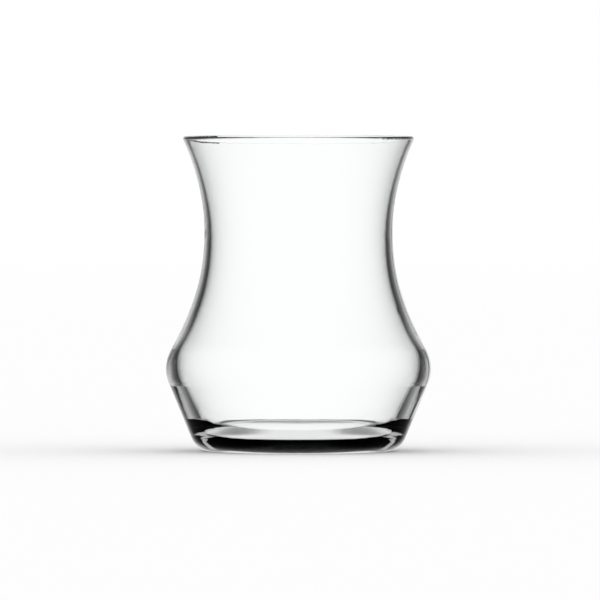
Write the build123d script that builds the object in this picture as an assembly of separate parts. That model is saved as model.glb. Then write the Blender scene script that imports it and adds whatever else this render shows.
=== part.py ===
"""Turkish tea glass: one thin-walled piece of clear glass, turned about +Z.

The glass stands on the plane z = 0 with its axis on Z, in millimetres.
Its outside and its inside are two separate outlines, because the wall is thin
at the lip and grows thicker down to the solid foot. Each outline runs from the
lip through the waist to the belly, and from there to the foot. Angles called
lean are measured from the vertical, in degrees.
"""
from math import asin, atan2, cos, hypot, pi, radians, sin
import os

from build123d import *

# Overall
height = 80.0
rim_radius = 29.3          # widest point of the rounded lip
waist_radius = 23.9
waist_height = 56.3
belly_radius = 33.65
belly_height = 21.0
rest_radius = 22.0         # the flat ring that the glass stands on

# Outside shape
lip_round = 0.63           # the lip's section is a full round
lip_lean = 25.0
lip_reach = 4.0            # how far the lip's direction carries down the mouth
mouth_reach = 9.8          # how far the waist's direction carries up
waist_reach = 8.4          # how far the waist's direction carries down
flank_reach = 16.0         # how far the belly's direction carries up
flank_lean = 28.8
belly_round = 9.6
heel_round = 5.6

# Wall, measured across from the outside
waist_wall = 1.62
belly_wall = 2.62
floor_thickness = 4.0

# Inside shape
inner_lip_lean = 20.0
inner_lip_reach = 5.2
inner_mouth_reach = 11.2
inner_waist_reach = 16.0
inner_flank_reach = 4.4
inner_flank_lean = 23.0
inner_belly_round = 8.95
inner_waist_drop = 2.3     # the inside is narrowest a little lower than the outside
inner_belly_rise = 0.6     # and widest a little higher
floor_radius = 17.0        # flat middle of the floor
floor_round = 10.0         # large round between the floor and the wall

# Underside
hollow_radius = 18.5       # a shallow hollow keeps the middle off the table
hollow_rise = 0.3


def outward(lean):
    """Unit vector at right angles to a wall that leans outward by lean degrees."""
    angle = radians(-lean)
    return Vector(cos(angle), sin(angle))


def upward(lean):
    """Unit vector that climbs a wall which leans outward by lean degrees."""
    return Vector(sin(radians(lean)), cos(radians(lean)))


def side_curve(top, top_lean, reaches, waist, round_centre, round_radius, flank_lean_angle):
    """Mouth and flank: two Bezier curves that meet upright at the waist.

    The upper one starts at the lip, and the lower one ends on the belly's round.
    """
    lip_pull, mouth_pull, waist_pull, flank_pull = reaches
    climb = Vector(0, 1)
    shoulder_lean = -flank_lean_angle
    shoulder = round_centre + outward(shoulder_lean) * round_radius
    mouth = Bezier(
        top,
        top - upward(top_lean) * lip_pull,
        waist + climb * mouth_pull,
        waist,
    )
    flank = Bezier(
        waist,
        waist - climb * waist_pull,
        shoulder + upward(shoulder_lean) * flank_pull,
        shoulder,
    )
    return mouth, flank


def lean_between(upper, upper_radius, lower, lower_radius):
    """Lean of the straight wall that touches two rounds on their outer side."""
    across = upper.X - lower.X
    up = upper.Y - lower.Y
    tilt = asin((upper_radius - lower_radius) / hypot(across, up))
    return (atan2(across, up) + tilt) * 180 / pi


def foot_curve(upper, upper_radius, flank_lean_angle, lower, lower_radius):
    """Belly round, straight wall below it, and the round that ends level."""
    lean = lean_between(upper, upper_radius, lower, lower_radius)
    start = upper + outward(-flank_lean_angle) * upper_radius
    widest = upper + Vector(upper_radius, 0)
    wall_top = upper + outward(lean) * upper_radius
    wall_foot = lower + outward(lean) * lower_radius
    halfway = lower + outward((90 + lean) / 2) * lower_radius
    level = lower - Vector(0, lower_radius)
    belly = ThreePointArc(start, widest, wall_top)
    wall = Line(wall_top, wall_foot)
    corner = ThreePointArc(wall_foot, halfway, level)
    return belly, wall, corner


def glass_outline():
    """Closed half section in the XZ plane, drawn with X across and Y up."""
    lip_centre = Vector(rim_radius - lip_round, height - lip_round)
    lip_outside = lip_centre + outward(lip_lean) * lip_round
    lip_inside = lip_centre - outward(inner_lip_lean) * lip_round
    lip_top = lip_centre + Vector(0, lip_round)
    lip = ThreePointArc(lip_outside, lip_top, lip_inside)

    belly_centre = Vector(belly_radius - belly_round, belly_height)
    heel_centre = Vector(rest_radius, heel_round)
    outside = side_curve(
        lip_outside,
        lip_lean,
        (lip_reach, mouth_reach, waist_reach, flank_reach),
        Vector(waist_radius, waist_height),
        belly_centre,
        belly_round,
        flank_lean,
    )
    outside_foot = foot_curve(belly_centre, belly_round, flank_lean, heel_centre, heel_round)

    inner_belly_radius = belly_radius - belly_wall
    inner_belly_height = belly_height + inner_belly_rise
    inner_belly_centre = Vector(inner_belly_radius - inner_belly_round, inner_belly_height)
    floor_corner = Vector(floor_radius, floor_thickness + floor_round)
    inside = side_curve(
        lip_inside,
        inner_lip_lean,
        (inner_lip_reach, inner_mouth_reach, inner_waist_reach, inner_flank_reach),
        Vector(waist_radius - waist_wall, waist_height - inner_waist_drop),
        inner_belly_centre,
        inner_belly_round,
        inner_flank_lean,
    )
    inside_foot = foot_curve(
        inner_belly_centre, inner_belly_round, inner_flank_lean, floor_corner, floor_round
    )

    rest_ring = Line(Vector(rest_radius, 0), Vector(hollow_radius, 0))
    hollow = TangentArc(Vector(0, hollow_rise), Vector(hollow_radius, 0), tangent=(1, 0))
    axis_line = Line(Vector(0, hollow_rise), Vector(0, floor_thickness))
    floor = Line(Vector(0, floor_thickness), Vector(floor_radius, floor_thickness))
    edges = [lip, *outside, *outside_foot, rest_ring, hollow, axis_line, floor, *inside_foot, *inside]
    return Wire(edges)


def make_glass():
    section = Plane.XZ * make_face(glass_outline())
    glass = revolve(section, axis=Axis.Z)
    glass.label = "glass"
    return glass


os.makedirs("parts", exist_ok=True)
export_step(make_glass(), "parts/glass.step")
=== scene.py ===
import math

import bpy
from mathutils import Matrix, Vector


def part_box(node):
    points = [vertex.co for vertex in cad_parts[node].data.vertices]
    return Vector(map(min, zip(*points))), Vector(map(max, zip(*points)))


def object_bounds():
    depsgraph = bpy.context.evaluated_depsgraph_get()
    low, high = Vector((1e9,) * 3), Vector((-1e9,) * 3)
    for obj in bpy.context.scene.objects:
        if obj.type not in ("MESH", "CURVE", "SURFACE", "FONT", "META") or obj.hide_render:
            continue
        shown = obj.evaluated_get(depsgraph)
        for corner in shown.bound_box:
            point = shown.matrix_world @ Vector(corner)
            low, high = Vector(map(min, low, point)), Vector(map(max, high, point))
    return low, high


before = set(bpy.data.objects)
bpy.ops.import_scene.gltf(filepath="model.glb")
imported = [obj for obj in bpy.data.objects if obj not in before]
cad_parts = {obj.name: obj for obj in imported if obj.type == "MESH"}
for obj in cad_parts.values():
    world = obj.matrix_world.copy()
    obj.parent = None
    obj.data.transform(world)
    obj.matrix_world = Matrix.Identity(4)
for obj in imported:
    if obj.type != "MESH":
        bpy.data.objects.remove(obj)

# A clear tea glass on a white table. The glass is the CAD node itself, with a clear glass material.
# Around it stands a studio tent: a white strip that runs behind, over and under the glass and falls
# off to dark at both sides. Only what the glass bends or mirrors shows the tent, so the wall draws a
# dark line wherever it turns the view sideways. The tent is parented to the camera and moves with it, so
# those dark lines follow the view: they are not how the glass looks from the side in a fixed studio.

cad_low, cad_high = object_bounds()
glass_low, glass_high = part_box("glass")
HEIGHT = glass_high[2] - glass_low[2]

# Camera: a long lens, a little above the lip
CAMERA_DISTANCE = 3.4
CAMERA_ABOVE_LIP = 0.0267
PICTURE_WIDTH = 1.904 * HEIGHT    # breadth of the view where the glass stands
SENSOR = 36.0                     # millimetres
CLIP_END = 100.0
GLASS_SHIFT = (0.0025, -0.0105)   # places the glass a little above and left of the middle

# Studio
TENT_RADIUS = 30.0
TENT_SEGMENTS = 96
TENT_RINGS = 48
FLOOR_VERTICES = 96
FLOOR_RADIUS = 3.0
FLOOR_FADE = 1.6                  # the floor starts to fade into the background here
FLOOR_COLOR = 0.985

# Brightness of the tent against the angle sideways from its middle plane, in degrees
RIGHT_ANGLE = 90
STRIP = ((0, 1.0), (12, 1.0), (16, 0.85), (20, 0.5), (25, 0.22), (30, 0.1), (36, 0.06), (60, 0.03))

# Glass
REFRACTIVE_INDEX = 1.52
FACE_ON_SHARE = 0.043             # what glass mirrors face on; the material mirrors only the rest
GLASS_TINT = (0.995, 1.0, 0.998, 1.0)


def add(tree, kind, **values):
    """Add a shader node and set its inputs by name, with spaces written as underscores."""
    node = tree.nodes.new(kind)
    for name, value in values.items():
        node.inputs[name.replace("_", " ")].default_value = value
    return node


def math_node(tree, operation, *inputs):
    """Add a Math node whose inputs are numbers or sockets, and return its output."""
    node = tree.nodes.new("ShaderNodeMath")
    node.operation = operation
    for socket, value in zip(node.inputs, inputs):
        if isinstance(value, (int, float)):
            socket.default_value = value
        else:
            tree.links.new(value, socket)
    return node.outputs[0]


def empty_material(name):
    material = bpy.data.materials.new(name)
    material.use_nodes = True
    material.node_tree.nodes.clear()
    return material, material.node_tree


def glass_material():
    """Clear glass: sharp refraction, mirrored more and more towards its edges."""
    material, tree = empty_material("clear_glass")
    output = add(tree, "ShaderNodeOutputMaterial")
    refraction = add(tree, "ShaderNodeBsdfRefraction", IOR=REFRACTIVE_INDEX, Roughness=0.0, Color=GLASS_TINT)
    gloss = add(tree, "ShaderNodeBsdfGlossy", Roughness=0.0)
    fresnel = add(tree, "ShaderNodeFresnel", IOR=REFRACTIVE_INDEX)
    share = add(tree, "ShaderNodeMapRange", From_Min=FACE_ON_SHARE, From_Max=1.0)
    mix = add(tree, "ShaderNodeMixShader")
    tree.links.new(fresnel.outputs[0], share.inputs["Value"])
    tree.links.new(share.outputs[0], mix.inputs[0])
    tree.links.new(refraction.outputs[0], mix.inputs[1])
    tree.links.new(gloss.outputs[0], mix.inputs[2])
    tree.links.new(mix.outputs[0], output.inputs["Surface"])
    return material


def tent_material():
    """White strip that fades to dark sideways, from the direction in the tent's own axes."""
    material, tree = empty_material("tent")
    output = add(tree, "ShaderNodeOutputMaterial")
    emission = add(tree, "ShaderNodeEmission", Strength=1.0)
    place = add(tree, "ShaderNodeTexCoord")
    split = add(tree, "ShaderNodeSeparateXYZ")
    ramp = add(tree, "ShaderNodeValToRGB")
    tree.links.new(place.outputs["Object"], split.inputs[0])
    across = math_node(tree, "ABSOLUTE", split.outputs["X"])
    sine = math_node(tree, "DIVIDE", across, TENT_RADIUS)
    angle = math_node(tree, "ARCSINE", sine)
    share = math_node(tree, "DIVIDE", angle, math.pi / 2)
    tree.links.new(share, ramp.inputs[0])
    elements = ramp.color_ramp.elements
    while len(elements) < len(STRIP):
        elements.new(1.0)
    for element, (degrees, level) in zip(elements, STRIP):
        element.position = degrees / RIGHT_ANGLE
        element.color = (level, level, level, 1.0)
    tree.links.new(ramp.outputs[0], emission.inputs["Color"])
    tree.links.new(emission.outputs[0], output.inputs["Surface"])
    return material


def floor_material():
    """Matt white table top that fades out into the white background."""
    material, tree = empty_material("table_top")
    output = add(tree, "ShaderNodeOutputMaterial")
    matt = add(tree, "ShaderNodeBsdfDiffuse", Color=(FLOOR_COLOR, FLOOR_COLOR, FLOOR_COLOR, 1.0))
    clear = add(tree, "ShaderNodeBsdfTransparent")
    mix = add(tree, "ShaderNodeMixShader")
    place = add(tree, "ShaderNodeTexCoord")
    length = tree.nodes.new("ShaderNodeVectorMath")
    length.operation = "LENGTH"
    fade = add(tree, "ShaderNodeMapRange", From_Min=FLOOR_FADE, From_Max=FLOOR_RADIUS)
    tree.links.new(place.outputs["Object"], length.inputs[0])
    tree.links.new(length.outputs["Value"], fade.inputs["Value"])
    tree.links.new(fade.outputs[0], mix.inputs[0])
    tree.links.new(matt.outputs[0], mix.inputs[1])
    tree.links.new(clear.outputs[0], mix.inputs[2])
    tree.links.new(mix.outputs[0], output.inputs["Surface"])
    return material


def link_object(name, data):
    thing = bpy.data.objects.new(name, data)
    bpy.context.scene.collection.objects.link(thing)
    return thing


def make_camera():
    data = bpy.data.cameras.new("camera")
    camera = link_object("camera", data)
    eye = glass_high[2] + CAMERA_ABOVE_LIP
    tilt = math.atan2(eye - HEIGHT / 2, CAMERA_DISTANCE)
    camera.location = (0.0, -CAMERA_DISTANCE, eye)
    camera.rotation_euler = (math.pi / 2 - tilt, 0.0, 0.0)
    data.sensor_width = SENSOR
    data.lens = SENSOR * CAMERA_DISTANCE / PICTURE_WIDTH
    data.clip_end = CLIP_END
    data.shift_x, data.shift_y = GLASS_SHIFT
    bpy.context.scene.camera = camera
    return camera


def make_tent(camera):
    """Great sphere round the glass that only bent and mirrored rays meet."""
    bpy.ops.mesh.primitive_uv_sphere_add(segments=TENT_SEGMENTS, ring_count=TENT_RINGS, radius=TENT_RADIUS)
    tent = bpy.context.object
    tent.name = "tent"
    tent.data.materials.append(tent_material())
    tent.parent = camera
    tent.location = (0.0, 0.0, -CAMERA_DISTANCE)
    tent.visible_camera = False
    tent.visible_diffuse = False
    tent.visible_shadow = False


def make_floor():
    bpy.ops.mesh.primitive_circle_add(vertices=FLOOR_VERTICES, radius=FLOOR_RADIUS, fill_type="NGON")
    floor = bpy.context.object
    floor.name = "table_top"
    floor.location.z = cad_low[2]
    floor.data.materials.append(floor_material())
    floor.visible_glossy = False
    floor.visible_transmission = False


def make_room():
    """Even white all round: it lights the table and is the background."""
    world = bpy.data.worlds.new("room")
    world.use_nodes = True
    tree = world.node_tree
    tree.nodes.clear()
    output = add(tree, "ShaderNodeOutputWorld")
    background = add(tree, "ShaderNodeBackground", Color=(1.0, 1.0, 1.0, 1.0), Strength=1.0)
    tree.links.new(background.outputs[0], output.inputs["Surface"])
    bpy.context.scene.world = world


bpy.context.scene.view_settings.view_transform = "Standard"
camera = make_camera()
make_tent(camera)
make_floor()
make_room()

clear_glass = glass_material()
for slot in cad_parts["glass"].material_slots:
    slot.link = "OBJECT"
    slot.material = clear_glass
